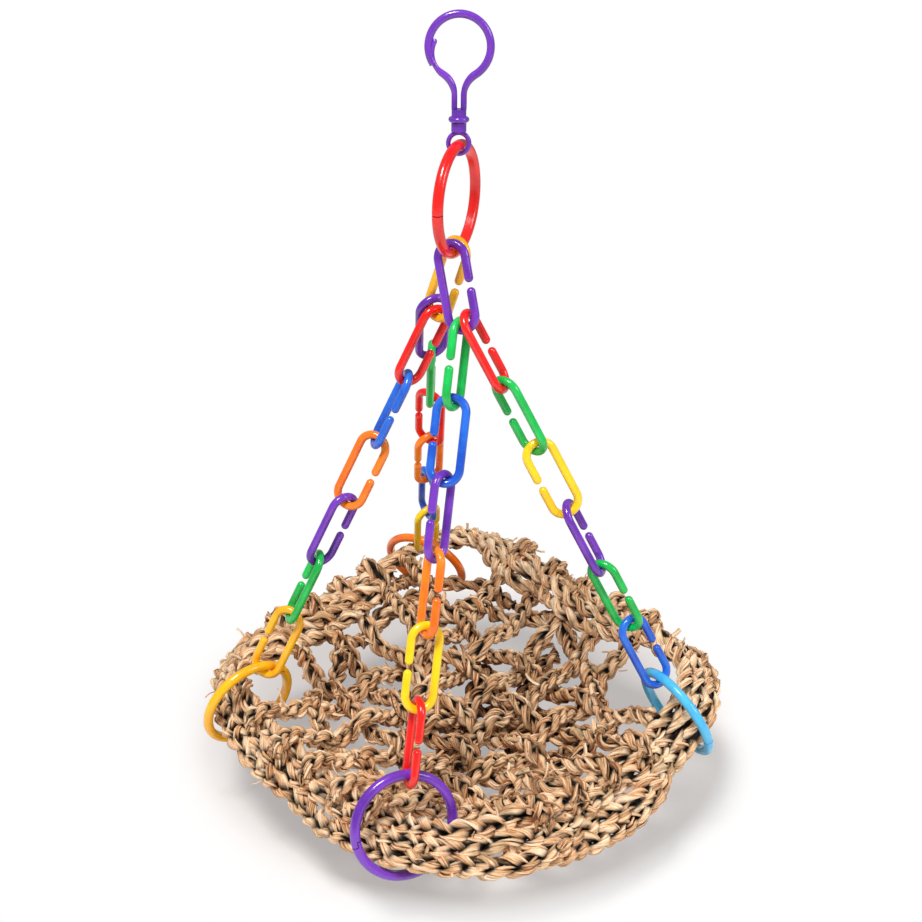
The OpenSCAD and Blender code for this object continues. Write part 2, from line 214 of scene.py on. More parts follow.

# %% [markdown]
# ## Moulded plastic
# Links, rings and hook are glossy plastic from a mould. Each colour is one
# material: the dye is a little uneven, light enters the surface a short way,
# and the skin has a faint ripple that breaks the highlights, as cheap mouldings
# do. Noise on Object coordinates gives all three at their own scales. The edges
# get a painted shade: their colour turns darker where the surface faces away
# from the eye.

# %% Plastic materials
def moulded_plastic(name, colour, deep, gloss=0.16):
    """Glossy plastic: colour in the light, deep where the dye is thicker, a painted shade at the edges."""
    material = bpy.data.materials.new(name)
    add = shader_tree(material)
    place = add("ShaderNodeTexCoord").outputs["Object"]
    flow = add("ShaderNodeTexNoise", {"Vector": place, "Scale": 70.0, "Detail": 3.0})
    dye = add("ShaderNodeValToRGB", {"Fac": flow.outputs["Fac"]})
    dye.color_ramp.elements[0].position = 0.35
    dye.color_ramp.elements[0].color = deep
    dye.color_ramp.elements[1].position = 0.6
    dye.color_ramp.elements[1].color = colour
    ripple = add("ShaderNodeTexNoise", {"Vector": place, "Scale": 420.0, "Detail": 2.0})
    scuffs = add("ShaderNodeTexNoise", {"Vector": place, "Scale": 1500.0, "Detail": 4.0})
    rough = add("ShaderNodeMapRange", {"Value": scuffs.outputs["Fac"], "From Min": 0.35, "From Max": 0.75,
                                       "To Min": gloss, "To Max": gloss + 0.16})
    soft_bump = add("ShaderNodeBump", {"Height": ripple.outputs["Fac"], "Strength": 0.25, "Distance": 0.0002})
    fine_bump = add("ShaderNodeBump", {"Height": scuffs.outputs["Fac"], "Strength": 0.12, "Distance": 0.00005,
                                       "Normal": soft_bump.outputs["Normal"]})
    # painted shade: towards the edges, where the surface turns away from the eye, the colour mixes into a
    # darker one
    edge = add("ShaderNodeLayerWeight", {"Blend": 0.35, "Normal": soft_bump.outputs["Normal"]})
    edge = add("ShaderNodeMapRange", {"Value": edge.outputs["Facing"], "From Min": 0.35, "To Max": 0.75})
    painted_edge_shade = add("ShaderNodeHueSaturation", {"Saturation": 1.15, "Value": 0.42, "Color": dye.outputs["Color"]})
    colour_layers = add("ShaderNodeMix", {"Factor": edge.outputs["Result"], 6: dye.outputs["Color"],
                                 7: painted_edge_shade.outputs["Color"]}, data_type="RGBA")
    skin = add("ShaderNodeBsdfPrincipled", {
        "Base Color": colour_layers.outputs[2], "Roughness": rough.outputs["Result"],
        "Normal": fine_bump.outputs["Normal"], "IOR": 1.49, "Subsurface Weight": 0.12,
        "Subsurface Radius": (0.9, 0.6, 0.4), "Subsurface Scale": 0.001,
        "Coat Weight": 0.3, "Coat Roughness": 0.1})
    add("ShaderNodeOutputMaterial", {"Surface": skin.outputs[0]})
    return material


plastic = {
    "purple": moulded_plastic("plastic_purple", from_screen(118, 54, 186), from_screen(94, 36, 158)),
    "red": moulded_plastic("plastic_red", from_screen(248, 30, 22), from_screen(226, 16, 14)),
    "lemon": moulded_plastic("plastic_lemon", from_screen(255, 214, 16), from_screen(254, 198, 8)),
    "amber": moulded_plastic("plastic_amber", from_screen(255, 190, 12), from_screen(252, 168, 4)),
    "orange": moulded_plastic("plastic_orange", from_screen(255, 134, 22), from_screen(250, 108, 10)),
    "green": moulded_plastic("plastic_green", from_screen(18, 200, 88), from_screen(8, 170, 66)),
    "blue": moulded_plastic("plastic_blue", from_screen(36, 110, 222), from_screen(20, 80, 196)),
    "sky": moulded_plastic("plastic_sky", from_screen(82, 192, 240), from_screen(54, 168, 226)),
}
print("plastics", sorted(plastic))

# %% [markdown]
# ## Which piece has which colour
# The links have no order that a rule could give, so each chain is a list of
# colours from the top down. The solid pieces stay as they are, and only their
# material slots change.

# %% Colours from the top down
CHAINS = ["front", "right", "left", "back"]
link_colours = {
    "front": ["green", "blue", "purple", "orange", "lemon", "red"],
    "right": ["red", "green", "lemon", "purple", "green", "blue"],
    "left": ["red", "blue", "orange", "purple", "green", "amber"],
    "back": ["purple", "green", "red", "orange", "blue", "lemon"],
}
ring_colours = {"front": "purple", "right": "sky", "left": "amber", "back": "orange"}
node_colours = {"hook_body": "purple", "hook_gate": "purple", "swivel_eye": "purple", "hanger_ring": "red",
                "front_top_link": "purple", "back_top_link": "amber"}
for chain in CHAINS:
    node_colours[chain + "_ring"] = ring_colours[chain]
    for number, colour in enumerate(link_colours[chain], 1):
        node_colours[f"{chain}_link_{number}"] = colour
for node, colour in node_colours.items():
    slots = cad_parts[node].data.materials
    slots.clear()
    slots.append(plastic[colour])
print("plastic pieces", len(node_colours))

# %% [markdown]
# ## The hook's legs
# A moulded hook has no steps: each leg swells smoothly from the neck into the
# loop. The solid model uses plain round bars, so each leg gets a sleeve with a
# changing thickness that follows the same line. A swept tube is enough, because
# the line lies in one plane. The left leg is the gate: its sleeve runs on to the
# tip, and both sleeves stay thin low down, so they clear each other when the
# gate is pressed in.

# %% Sleeves for the legs
def arc(middle, radius, low, high, count=20):
    """Points on an arc in the hook's upright plane, in metres, between two angles in degrees."""
    angles = [math.radians(low + (high - low) * k / (count - 1)) for k in range(count)]
    return [(middle[0] + radius * math.cos(a), middle[1] + radius * math.sin(a)) for a in angles]


def sleeve(name, path, radii, sides=28):
    """A round tube along a path in the upright plane, with a rounded cap at both ends."""
    cap_turns = (1.5, 1.1, 0.6)
    stations = []
    for k, (point, radius) in enumerate(zip(path, radii)):
        before, after = path[max(k - 1, 0)], path[min(k + 1, len(path) - 1)]
        ahead = Vector((after[0] - before[0], 0, after[1] - before[1])).normalized()
        middle = Vector((point[0], 0, point[1]))
        if k == 0:
            stations += [(middle - ahead * radius * math.sin(u), ahead, radius * math.cos(u))
                         for u in cap_turns]
        stations.append((middle, ahead, radius))
        if k == len(path) - 1:
            stations += [(middle + ahead * radius * math.sin(u), ahead, radius * math.cos(u))
                         for u in reversed(cap_turns)]
    verts, faces = [], []
    for middle, ahead, radius in stations:
        flat = Vector((0, 1, 0)).cross(ahead)
        for j in range(sides):
            turn = 2 * math.pi * j / sides
            verts.append(middle + radius * (math.cos(turn) * flat + math.sin(turn) * Vector((0, 1, 0))))
    for k in range(len(stations) - 1):
        for j in range(sides):
            a, b = k * sides + j, k * sides + (j + 1) % sides
            faces.append((a, a + sides, b + sides, b))
    faces.append(tuple(range(sides)))
    faces.append(tuple(range(len(verts) - 1, len(verts) - 1 - sides, -1)))
    mesh = bpy.data.meshes.new(name)
    mesh.from_pydata(verts, [], faces)
    mesh.polygons.foreach_set("use_smooth", [True] * len(mesh.polygons))
    mesh.materials.append(plastic["purple"])
    piece = bpy.data.objects.new(name, mesh)
    bpy.context.scene.collection.objects.link(piece)
    print(name, "faces", len(faces))
    return piece


loop_middle, loop_radius = (0, -0.0112), 0.01285
bend_middle, bend_radius = (0.01215, -0.030787), 0.0102
leg_x, neck_top, leg_turn = 0.00195, -0.0362, 58.19
tip_middle, tip_radius, tip_turn = (-0.001608, -0.013792), 0.0098, 86
straight_leg = 0.0054
leg_line = [(leg_x, neck_top + straight_leg * k / 8) for k in range(8)]
leg_line += arc(bend_middle, bend_radius, 180, 180 - leg_turn)
right_line = leg_line[:-1] + arc(loop_middle, loop_radius, -leg_turn, -18, 14)
right_radii = [0.00128 + 0.0004 * min(1, max(0, k - 12) / 12) for k in range(len(right_line))]
leg_sleeve = sleeve("hook_leg_sleeve", right_line, right_radii)
gate_line = [(-x, z) for x, z in leg_line]
gate_radii = [0.00121 + 0.00034 * math.sin(math.pi * min(1, max(0, k - 10) / 24))
              for k in range(len(gate_line))]
gate_line += arc(tip_middle, tip_radius, 180 + leg_turn, 180 + leg_turn - tip_turn, 15)[1:]
gate_radii += [max(0.00109, 0.00144 - 0.00014 * k) for k in range(14)]
gate_sleeve = sleeve("hook_gate_sleeve", gate_line, gate_radii)
for piece, body in ((leg_sleeve, "hook"), (gate_sleeve, "gate")):
    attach(piece, body)

# %% [markdown]
# ## The mat's lines
# The mat is a sagging sheet between four corners. On it the rim runs along a
# rounded square, three ropes side by side, and two families of ropes cross over
# and under each other. These are the same lines as the CAD model's, in metres,
# so each plait lies where its solid is.

# %% The sheet and the rim's runs
corners = np.array([(1.2818, -99.7374, -339.273), (123.638, -3.7603, -311.712),
                    (-115.012, 11.6794, -323.048), (3.2401, 130.926, -302.851)]) / 1000
rim_power = 3.7
corner_share = 2 ** (-1 / rim_power)
middle = corners.mean(axis=0)
quad = middle + (corners - middle) / corner_share
half_side = 0.100978
side_sag, middle_sag = 0.0095, 0.016
rim_rope_d, lattice_rope_d, rope_clear, end_clear = 0.0084, 0.0076, 0.0003, 0.0014
lattice_step = 0.022
rim_step = rim_rope_d + rope_clear
band_tilt = math.radians(38)


def sheet_point(s, t):
    """A point of the sagging sheet; s and t run from -1 to 1 between its sides."""
    flat = ((1 - s) * (1 - t) * quad[0] + (1 + s) * (1 - t) * quad[1]
            + (1 - s) * (1 + t) * quad[2] + (1 + s) * (1 + t) * quad[3]) / 4
    sag = side_sag * (1 - (s * t / corner_share ** 2) ** 2) + middle_sag * (1 - s * s) * (1 - t * t)
    return flat - np.array([0, 0, sag])


def rim_line(angle):
    """A point of the rim's middle line, on a rounded square laid on the sheet."""
    c, s = math.cos(angle), math.sin(angle)
    radius = (abs(c) ** rim_power + abs(s) ** rim_power) ** (-1 / rim_power)
    return sheet_point(radius * c, radius * s)


def rim_out(angle, step=math.radians(360 / 96)):
    """The level direction that leads straight out of the mat."""
    ahead = rim_line(angle + step) - rim_line(angle - step)
    out = np.cross(ahead, (0, 0, 1))
    return out / np.linalg.norm(out)


RIM_POINTS = 240
SIDE_POINTS = 60
ring_angles = [math.radians(a) for a in (213.5, 300.4, 146.6, 60.7)]


def eased(low, high, x):
    """Rises smoothly from 0 at low to 1 at high."""
    x = min(1, max(0, (x - low) / (high - low)))
    return x * x * (3 - 2 * x)


def clear_of_rings(angle, low=9, high=26):
    """0 where a split ring goes round the rim, rising to 1 away from all four."""
    apart = min(abs((angle - ring + math.pi) % (2 * math.pi) - math.pi) for ring in ring_angles)
    return eased(math.radians(low), math.radians(high), apart)


def rim_place(angle, runs, lift):
    """A point so many runs out from the rim's middle line, and so far above the band."""
    out, down = rim_out(angle), np.array([0, 0, -1.0])
    outward = math.cos(band_tilt) * out + math.sin(band_tilt) * down
    upward = math.sin(band_tilt) * out - math.cos(band_tilt) * down
    return rim_line(angle) + runs * rim_step * outward + lift * upward


def rim_path(run, sway=0.0):
    """The line of one rim rope: -1 inner, 0 middle, 1 outer. It wanders between the rings."""
    path = []
    for k in range(RIM_POINTS):
        angle = 2 * math.pi * k / RIM_POINTS
        free = clear_of_rings(angle)
        runs = run * (0.82 + 0.18 * free) + free * sway * math.sin(9 * angle + 2.1 * run) / rim_step
        path.append(rim_place(angle, runs, 0.8 * free * sway * math.sin(14 * angle + 4.2 * run)))
    return path


def rim_side_path(run, low, high, sway=0.0, drop=0.0015):
    """A rope along one side of the rim, whose ends are tucked into the next run."""
    path = []
    for k in range(SIDE_POINTS + 1):
        share = k / SIDE_POINTS
        tucked = 1 - eased(0, 0.22, share) * eased(0, 0.22, 1 - share)
        angle = math.radians(low + (high - low) * share)
        runs = run - math.copysign(0.95 * tucked, run) + sway * math.sin(8 * angle + run) / rim_step
        lift = -drop * (1 - tucked) - 0.0035 * tucked + 0.6 * sway * math.sin(13 * angle)
        path.append(rim_place(angle, runs, lift))
    return path


print("rim, metres round", round(sum(math.dist(a, b) for a, b in zip(rim_path(0), rim_path(0)[1:])), 3))

# %% [markdown]
# ## How the lattice weaves
# A rope that goes over one and under the next rises and falls like a cosine of
# its way along, with one half turn for each crossing. Two families with the
# opposite sign then pass each other by themselves. Near the rim the wave fades,
# and a tie of a few points leads the rope over the inner run and tucks it in.
# Further ropes fill the mat as a maker would: across the corners, round the
# middle, and in a lower layer.

# %% The lattice's lines
LATTICE_COUNT = 5
lattice_middle = (LATTICE_COUNT - 1) / 2
weave_height = (lattice_rope_d / math.cos(math.radians(34)) + rope_clear) / 2
fade_share = 0.25


def lattice_edge(fixed):
    """How far along a lattice line the rim's middle line lies."""
    return (1 - abs(fixed) ** rim_power) ** (1 / rim_power)


def on_sheet(fixed, along, sign):
    """A point of the sheet for the warp (sign 1) or the weft (sign -1)."""
    return sheet_point(fixed, along) if sign > 0 else sheet_point(along, fixed)


def lattice_path(line, sign, count=64):
    """A lattice rope that goes over and under the ropes that it crosses."""
    fixed = (line - lattice_middle) * lattice_step / half_side
    finish = lattice_edge(fixed) - (rim_step * math.cos(band_tilt) + rim_rope_d / 2 + end_clear) / half_side
    last_cross = (lattice_middle + fade_share) * lattice_step / half_side
    path = []
    for k in range(count + 1):
        share = 2 * k / count - 1
        along = finish * share
        x = max(0, abs(along) - last_cross) / (finish - last_cross)
        fade = x * x * (3 - 2 * x)
        side = -1 if share < 0 else 1
        rise = (on_sheet(fixed, lattice_edge(fixed) * side, sign)[2] + rim_step * math.sin(band_tilt)
                - on_sheet(fixed, finish * side, sign)[2])
        phase = math.pi * (along * half_side / lattice_step + line - lattice_middle)
        lift = sign * weave_height * math.cos(phase) * (1 - fade) + rise * fade
        path.append(on_sheet(fixed, along, sign) + np.array([0, 0, lift]))
    return path


# runs out from the rim's middle line, and height above the band: over the inner run and in behind it
tie_points = ((-1.6, 0.003), (-1.25, 0.0068), (-0.8, 0.0076), (-0.4, 0.0052), (-0.25, 0.0), (-0.5, -0.0035))
short_tie = (-1.35, -0.001)


def tie(fixed, side, sign):
    """Where a lattice rope climbs over the inner run and is tucked in; near a ring it stops short."""
    edge = lattice_edge(fixed) * side
    angle = math.atan2(edge, fixed) if sign > 0 else math.atan2(fixed, edge)
    if clear_of_rings(angle, 0, 12) < 0.6:
        return [rim_place(angle, *short_tie)]
    return [rim_place(angle, runs, lift) for runs, lift in tie_points]


def smooth(points, per=5):
    """Points along a smooth curve that passes through the given ones."""
    path = []
    padded = [points[0], *points, points[-1]]
    for a, b, c, d in zip(padded, padded[1:], padded[2:], padded[3:]):
        for k in range(per):
            u = k / per
            path.append(0.5 * (2 * b + (c - a) * u + (2 * a - 5 * b + 4 * c - d) * u ** 2
                               + (3 * b - a - 3 * c + d) * u ** 3))
    return path + [points[-1]]


def lattice_rope(line, sign):
    """A whole lattice rope, tied to the rim at both ends."""
    fixed = (line - lattice_middle) * lattice_step / half_side
    path = lattice_path(line, sign, 40)[2:-2]
    for k, point in enumerate(path):
        sway = 0.0026 * math.sin(math.pi * k / 36) * math.sin(0.31 * k + 2.3 * line + sign)
        point[0 if sign > 0 else 1] += sway
    return smooth(tie(fixed, -1, sign)[::-1] + path + tie(fixed, 1, sign), 4)


def corner_rope(share, low, high, count=50):
    """A short rope that crosses a corner of the mat below its split ring."""
    path = []
    for k in range(count + 1):
        angle = math.radians(low + (high - low) * k / count)
        c, s = math.cos(angle), math.sin(angle)
        radius = share * (abs(c) ** rim_power + abs(s) ** rim_power) ** (-1 / rim_power)
        sink = 0.004 * (1 - math.sin(math.pi * k / count)) + 0.001 * math.sin(0.5 * k)
        path.append(sheet_point(radius * c, radius * s) - np.array([0, 0, sink]))
    return path


def under_rope(line, sign, low, high, count=80):
    """A rope of the lower layer: it hangs below the holes and its ends curl up between the others."""
    path = []
    for k in range(count + 1):
        share = 2 * k / count - 1
        beside = 0.3 * math.sin(6.3 * share + 2.7 * line + sign)
        fixed = (line - lattice_middle + beside) * lattice_step / half_side
        below = 0.0115 - 0.0105 * eased(0.7, 1, abs(share)) + 0.0015 * math.sin(9 * share + line)
        path.append(on_sheet(fixed, low + (high - low) * k / count, sign) - np.array([0, 0, below]))
    return path


def round_rope(share=0.73, count=240):
    """A rope that goes round the lattice, over and under the ropes that run to the rim."""
    path = []
    for k in range(count):
        angle = 2 * math.pi * k / count
        c, s = math.cos(angle), math.sin(angle)
        radius = share * (abs(c) ** rim_power + abs(s) ** rim_power) ** (-1 / rim_power)
        pulled_in = 0.16 * math.sin(2 * angle) ** 2
        radius *= 1 - pulled_in + 0.04 * math.sin(5 * angle + 1) + 0.025 * math.sin(11 * angle)
        along = radius * (s if abs(c) > abs(s) else c)
        weave = math.cos(math.pi * along * half_side / lattice_step) * (1 if abs(c) > abs(s) else -1)
        path.append(sheet_point(radius * c, radius * s) + np.array([0, 0, 0.0045 * weave + 0.001]))
    return path


print("lattice ropes", 2 * LATTICE_COUNT, "points in one", len(lattice_rope(0, 1)))

# %% [markdown]
# ## A plaited rope in Geometry Nodes
# Each rope is a plait of three strands, and each strand is a bundle of twisted
# leaves. Drawing that by hand would take hundreds of turns, but it follows a
# rule: a strand swings from side to side once a pitch and dips twice, and the
# leaves turn round it. So one tree copies the rope's line once for each leaf,
# moves every copy by that rule, and sweeps a flat leaf section along it.
#
# A geometry tree is long, so a small class writes it: it makes the named inputs,
# adds nodes, has short words for sums and vectors, and ends every tree in the
# same way. A second helper runs a tree on lines and hands back a plain mesh.

# %% A helper for geometry trees
class Tree:
    """A Geometry Nodes tree that is written from top to bottom."""

    def __init__(self, name):
        self.tree = bpy.data.node_groups.new(name, "GeometryNodeTree")
        for way in ("INPUT", "OUTPUT"):
            self.tree.interface.new_socket("Geometry", in_out=way, socket_type="NodeSocketGeometry")
        self.start = self.tree.nodes.new("NodeGroupInput")
        self.end = self.tree.nodes.new("NodeGroupOutput")

    def size(self, name, kind="Float"):
        self.tree.interface.new_socket(name, in_out="INPUT", socket_type="NodeSocket" + kind)
        return self.start.outputs[name]

    def put(self, socket, value):
        if isinstance(value, bpy.types.Node):
            value = value.outputs[0]
        if isinstance(value, bpy.types.NodeSocket):
            self.tree.links.new(value, socket)
        else:
            socket.default_value = value

    def add(self, kind, inputs=None, **settings):
        node = self.tree.nodes.new(kind)
        for name, value in settings.items():
            setattr(node, name, value)
        for name, value in (inputs or {}).items():
            self.put(node.inputs[name], value)
        return node

    def math(self, operation, a, b=0.0, c=0.0):
        return self.add("ShaderNodeMath", {0: a, 1: b, 2: c}, operation=operation).outputs[0]

    def sum(self, a, b):
        return self.math("ADD", a, b)

    def times(self, a, b):
        return self.math("MULTIPLY", a, b)

    def vector(self, operation, a, b=(0, 0, 0)):
        node = self.add("ShaderNodeVectorMath", {0: a, 1: b}, operation=operation)
        return node.outputs["Value" if operation in ("LENGTH", "DOT_PRODUCT") else "Vector"]

    def scaled(self, a, factor):
        return self.add("ShaderNodeVectorMath", {0: a, "Scale": factor}, operation="SCALE").outputs["Vector"]

    def keep(self, geometry, name, value, kind="FLOAT", domain="POINT"):
        inputs = {"Geometry": geometry, "Name": name, "Value": value}
        return self.add("GeometryNodeStoreNamedAttribute", inputs, data_type=kind, domain=domain)

    def finish(self, geometry, material):
        real = self.add("GeometryNodeRealizeInstances", {0: geometry})
        smooth = self.add("GeometryNodeSetShadeSmooth", {0: real})
        painted = self.add("GeometryNodeSetMaterial", {"Geometry": smooth, "Material": material})
        self.put(self.end.inputs[0], painted)
        return self.tree


def run_tree(name, lines, tree, sizes, closed=False):
    """Runs a tree on poly lines and returns the plain mesh as one object."""
    data = bpy.data.curves.new(name + "_lines", "CURVE")
    data.dimensions = "3D"
    for line in lines:
        spline = data.splines.new("POLY")
        spline.points.add(len(line) - 1)
        spline.points.foreach_set("co", [x for p in line for x in (*p, 1)])
        spline.use_cyclic_u = closed
    guide = bpy.data.objects.new(name + "_lines", data)
    bpy.context.scene.collection.objects.link(guide)
    modifier = guide.modifiers.new("tree", "NODES")
    modifier.node_group = tree
    for socket in tree.interface.items_tree:
        if socket.in_out == "INPUT" and socket.name in sizes:
            modifier[socket.identifier] = sizes[socket.name]
    seen = guide.evaluated_get(bpy.context.evaluated_depsgraph_get())
    mesh = bpy.data.meshes.new_from_object(seen)
    mesh.name = name
    piece = bpy.data.objects.new(name, mesh)
    bpy.context.scene.collection.objects.link(piece)
    bpy.data.objects.remove(guide)
    bpy.data.curves.remove(data)
    triangles = sum(len(p.vertices) - 2 for p in mesh.polygons)
    print(name, "triangles", triangles)
    return piece


print("tree helpers", len([name for name in dir(Tree) if not name.startswith("_")]))

# %% [markdown]
# The tree for the plait reads from top to bottom: one copy of the line for each
# leaf, where its strand is in the swing and where the leaf is in its turn round
# the strand, a little wandering, and at last the swept section. A leaf's centre,
# tone, length along and depth stay on the mesh for the material.

# %% The plait's tree
def plait_tree():
    """Strands of twisted leaves, plaited along every line that comes in."""
    t = Tree("plaited_rope")
    strands = t.size("Strands", "Int")
    leaves = t.size("Leaves", "Int")
    half_width, half_depth = t.size("Half width"), t.size("Half depth")
    turns, twists = t.size("Pitches", "Int"), t.size("Twists", "Int")
    spread, leaf_width, leaf_depth = t.size("Leaf spread"), t.size("Leaf width"), t.size("Leaf depth")
    step, face, loose = t.size("Step"), t.size("Face angle"), t.size("Looseness")
    seed = t.size("Seed", "Int")
    straw = t.size("Straw", "Material")

    rope = t.start.outputs["Geometry"]
    line = t.add("GeometryNodeResampleCurve", {"Curve": rope, "Length": step}, mode="LENGTH")
    line = t.add("GeometryNodeSetCurveNormal", {"Curve": line}, mode="Z_UP")
    factor = t.add("GeometryNodeSplineParameter").outputs["Factor"]
    copies = t.add("GeometryNodeDuplicateElements", {"Geometry": line, "Amount": t.times(strands, leaves)},
                   domain="SPLINE")
    number = copies.outputs["Duplicate Index"]
    strand = t.math("FLOOR", t.math("DIVIDE", number, leaves))
    leaf = t.math("MODULO", number, leaves)

    # where the strand is in its swing, and the leaf in its turn round the strand
    where = t.add("GeometryNodeInputPosition").outputs[0]
    uneven = t.add("ShaderNodeTexNoise", {"Vector": where, "Scale": 38.0, "Detail": 1.0}).outputs["Fac"]
    uneven = t.times(t.math("SUBTRACT", uneven, 0.5), 1.1)
    swing = t.sum(t.times(factor, turns), t.math("DIVIDE", strand, strands))
    swing = t.times(t.sum(swing, uneven), 2 * math.pi)
    turn = t.sum(t.times(factor, twists), t.math("DIVIDE", leaf, leaves))
    turn = t.times(t.sum(turn, t.times(strand, 0.37)), 2 * math.pi)
    across = t.sum(t.times(t.math("SINE", swing), half_width), t.times(t.math("COSINE", turn), spread))
    dip = t.math("SINE", t.times(swing, 2.0))
    over = t.sum(t.times(dip, half_depth), t.times(t.math("SINE", turn), spread))
    cos_face, sin_face = t.math("COSINE", face), t.math("SINE", face)
    side = t.math("SUBTRACT", t.times(across, cos_face), t.times(over, sin_face))
    rise = t.sum(t.times(across, sin_face), t.times(over, cos_face))

    ahead = t.add("GeometryNodeInputTangent")
    level = t.add("GeometryNodeInputNormal")
    above = t.vector("CROSS_PRODUCT", ahead.outputs[0], level.outputs[0])
    offset = t.vector("ADD", t.scaled(level.outputs[0], side), t.scaled(above, rise))
    shuffle = t.add("FunctionNodeRandomValue", {"Seed": seed, "ID": number}, data_type="FLOAT")
    tone = shuffle.outputs[1]
    shifted = t.vector("ADD", where, t.scaled((11.3, 7.7, 5.1), t.sum(tone, number)))
    wander = t.add("ShaderNodeTexNoise", {"Vector": shifted, "Scale": 110.0, "Detail": 1.0})
    wander = t.scaled(t.vector("SUBTRACT", wander.outputs["Color"], (0.5, 0.5, 0.5)), loose)
    kept = t.keep(copies, "centre", where, "FLOAT_VECTOR")
    kept = t.keep(kept, "tone", tone)
    along = t.add("GeometryNodeSplineParameter").outputs["Length"]
    kept = t.keep(kept, "along", along)
    moved = t.add("GeometryNodeSetPosition", {"Geometry": kept, "Offset": t.vector("ADD", offset, wander)})
    moved = t.add("GeometryNodeSetCurveNormal", {"Curve": moved}, mode="MINIMUM_TWIST")
    tilt = t.sum(t.times(t.times(factor, twists), 2 * math.pi), t.times(number, 1.9))
    moved = t.add("GeometryNodeSetCurveTilt", {"Curve": moved, "Tilt": tilt})
    swell = t.add("ShaderNodeTexNoise", {"Vector": shifted, "Scale": 160.0, "Detail": 2.0})
    radius = t.math("MULTIPLY_ADD", swell.outputs["Fac"], 1.1, t.math("MULTIPLY_ADD", tone, 0.35, 0.32))
    moved = t.add("GeometryNodeSetCurveRadius", {"Curve": moved, "Radius": radius})

    section = t.add("GeometryNodeCurvePrimitiveCircle", {"Resolution": 7, "Radius": 0.5}, mode="RADIUS")
    size = t.add("ShaderNodeCombineXYZ", {"X": leaf_width, "Y": leaf_depth, "Z": 1.0})
    section = t.add("GeometryNodeTransform", {"Geometry": section, "Scale": size})
    section = t.keep(section, "round", factor)
    body = t.add("GeometryNodeCurveToMesh", {"Curve": moved, "Profile Curve": section, "Fill Caps": True})
    centre = t.add("GeometryNodeInputNamedAttribute", {"Name": "centre"}, data_type="FLOAT_VECTOR").outputs[0]
    depth = t.vector("LENGTH", t.vector("SUBTRACT", where, centre))
    depth = t.math("DIVIDE", depth, t.sum(t.sum(half_width, spread), t.times(leaf_depth, 0.5)))
    body = t.keep(body, "depth", depth)
    return t.finish(body, straw)


plait = plait_tree()
print(plait.name, "nodes", len(plait.nodes))

# %% [markdown]
# ## Dried seagrass
# A dried leaf is straw coloured and streaked along its fibres; where it lies deep
# in the plait a painted shade turns it near black. The tree has left the facts on
# the mesh: how far round the leaf a point is, how far along, how deep in the rope,
# and a tone for each leaf. Streaks are noise that is stretched along the leaf. The
# lattice and the ropes below it get darker copies of the leaf, a painted shade,
# because the middle of the mat and its lower layer lie more in shade than its rim.

